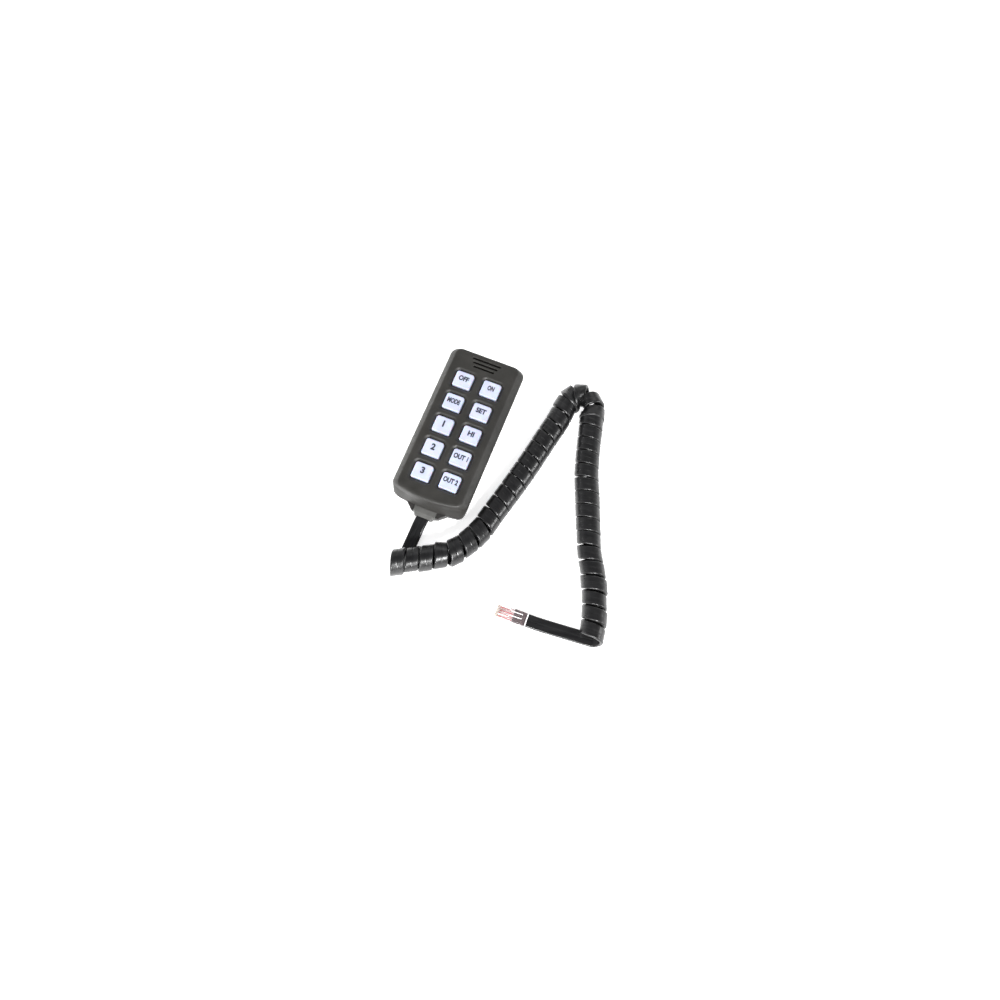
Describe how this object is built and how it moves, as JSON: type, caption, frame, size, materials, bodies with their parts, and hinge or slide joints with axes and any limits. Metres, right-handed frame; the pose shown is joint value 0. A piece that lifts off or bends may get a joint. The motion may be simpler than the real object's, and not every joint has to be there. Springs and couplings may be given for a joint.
{
  "type": "hand controller",
  "caption": "Hand-held push-button controller with a microphone grille, square keys in dished pockets, a curled flat lead and a clear modular plug.",
  "frame": {"origin": "on the back face, at the middle of the case's width and moulded length, where the case lies on a table", "axes": "+X right across the keys, +Y towards the microphone end, +Z out of the key face"},
  "size_m": [0.168, 0.1747, 0.0224],
  "materials": {
    "case_front": "fine moulded texture",
    "case_rear": "fine moulded texture",
    "key_white": "satin, lightly translucent",
    "switch_black": "satin",
    "board_green": "solder resist",
    "led_lens": "clear epoxy",
    "chip_black": "moulded",
    "component_mix": "mixed",
    "capsule_metal": "satin",
    "boot_rubber": "matte",
    "screen_cloth": "felt",
    "header_ivory": "moulded",
    "connector_white": "moulded",
    "wire_pvc": "soft gloss",
    "relief_grey": "satin",
    "screw_steel": "zinc plated",
    "label_silver": "blank polyester film",
    "cord_black": "glossy flexible jacket",
    "plug_clear": "clear",
    "contact_gold": "gold plated"
  },
  "bodies": {
    "handset": {"front_shell": "case_front", "rear_shell": "case_rear", "tact_switches": "switch_black", "circuit_board": "board_green", "backlight_leds": "led_lens", "controller_chip": "chip_black", "small_components": "component_mix", "mic_capsule": "capsule_metal", "mic_boot": "boot_rubber", "dust_screen": "screen_cloth", "board_header": "header_ivory", "lead_connector": "connector_white", "inner_wires": "wire_pvc", "strain_relief": "relief_grey", "case_screws": "screw_steel", "board_screws": "screw_steel", "rear_label": "label_silver", "cord_lead": "cord_black", "cord_coil": "cord_black", "cord_tail": "cord_black", "plug_body": "plug_clear", "plug_contacts": "contact_gold", "plug_wires": "wire_pvc"},
    "button_off": {"key_off": "key_white", "plunger_off": "switch_black"},
    "button_pa": {"key_pa": "key_white", "plunger_pa": "switch_black"},
    "button_tone": {"key_tone": "key_white", "plunger_tone": "switch_black"},
    "button_manual": {"key_manual": "key_white", "plunger_manual": "switch_black"},
    "button_one": {"key_one": "key_white", "plunger_one": "switch_black"},
    "button_air_horn": {"key_air_horn": "key_white", "plunger_air_horn": "switch_black"},
    "button_two": {"key_two": "key_white", "plunger_two": "switch_black"},
    "button_aux_one": {"key_aux_one": "key_white", "plunger_aux_one": "switch_black"},
    "button_three": {"key_three": "key_white", "plunger_three": "switch_black"},
    "button_aux_two": {"key_aux_two": "key_white", "plunger_aux_two": "switch_black"},
    "latch": {"plug_latch": "plug_clear"}
  },
  "joints": [
    {"name": "press_off", "type": "slide", "parent": "handset", "child": "button_off", "axis": [0, 0, -1], "range_m": [0, 0.0006], "stiffness_N_per_m": 1500, "springref_m": -0.0004},
    {"name": "press_pa", "type": "slide", "parent": "handset", "child": "button_pa", "axis": [0, 0, -1], "range_m": [0, 0.0006], "stiffness_N_per_m": 1500, "springref_m": -0.0004},
    {"name": "press_tone", "type": "slide", "parent": "handset", "child": "button_tone", "axis": [0, 0, -1], "range_m": [0, 0.0006], "stiffness_N_per_m": 1500, "springref_m": -0.0004},
    {"name": "press_manual", "type": "slide", "parent": "handset", "child": "button_manual", "axis": [0, 0, -1], "range_m": [0, 0.0006], "stiffness_N_per_m": 1500, "springref_m": -0.0004},
    {"name": "press_one", "type": "slide", "parent": "handset", "child": "button_one", "axis": [0, 0, -1], "range_m": [0, 0.0006], "stiffness_N_per_m": 1500, "springref_m": -0.0004},
    {"name": "press_air_horn", "type": "slide", "parent": "handset", "child": "button_air_horn", "axis": [0, 0, -1], "range_m": [0, 0.0006], "stiffness_N_per_m": 1500, "springref_m": -0.0004},
    {"name": "press_two", "type": "slide", "parent": "handset", "child": "button_two", "axis": [0, 0, -1], "range_m": [0, 0.0006], "stiffness_N_per_m": 1500, "springref_m": -0.0004},
    {"name": "press_aux_one", "type": "slide", "parent": "handset", "child": "button_aux_one", "axis": [0, 0, -1], "range_m": [0, 0.0006], "stiffness_N_per_m": 1500, "springref_m": -0.0004},
    {"name": "press_three", "type": "slide", "parent": "handset", "child": "button_three", "axis": [0, 0, -1], "range_m": [0, 0.0006], "stiffness_N_per_m": 1500, "springref_m": -0.0004},
    {"name": "press_aux_two", "type": "slide", "parent": "handset", "child": "button_aux_two", "axis": [0, 0, -1], "range_m": [0, 0.0006], "stiffness_N_per_m": 1500, "springref_m": -0.0004},
    {"name": "latch_flex", "type": "hinge", "parent": "handset", "child": "latch", "pos_m": [0.07055, -0.10098, 0.00745], "axis": [0.0349, -0.9994, 0], "range_deg": [-10, 0], "stiffness_Nm_per_rad": 0.05}
  ]
}
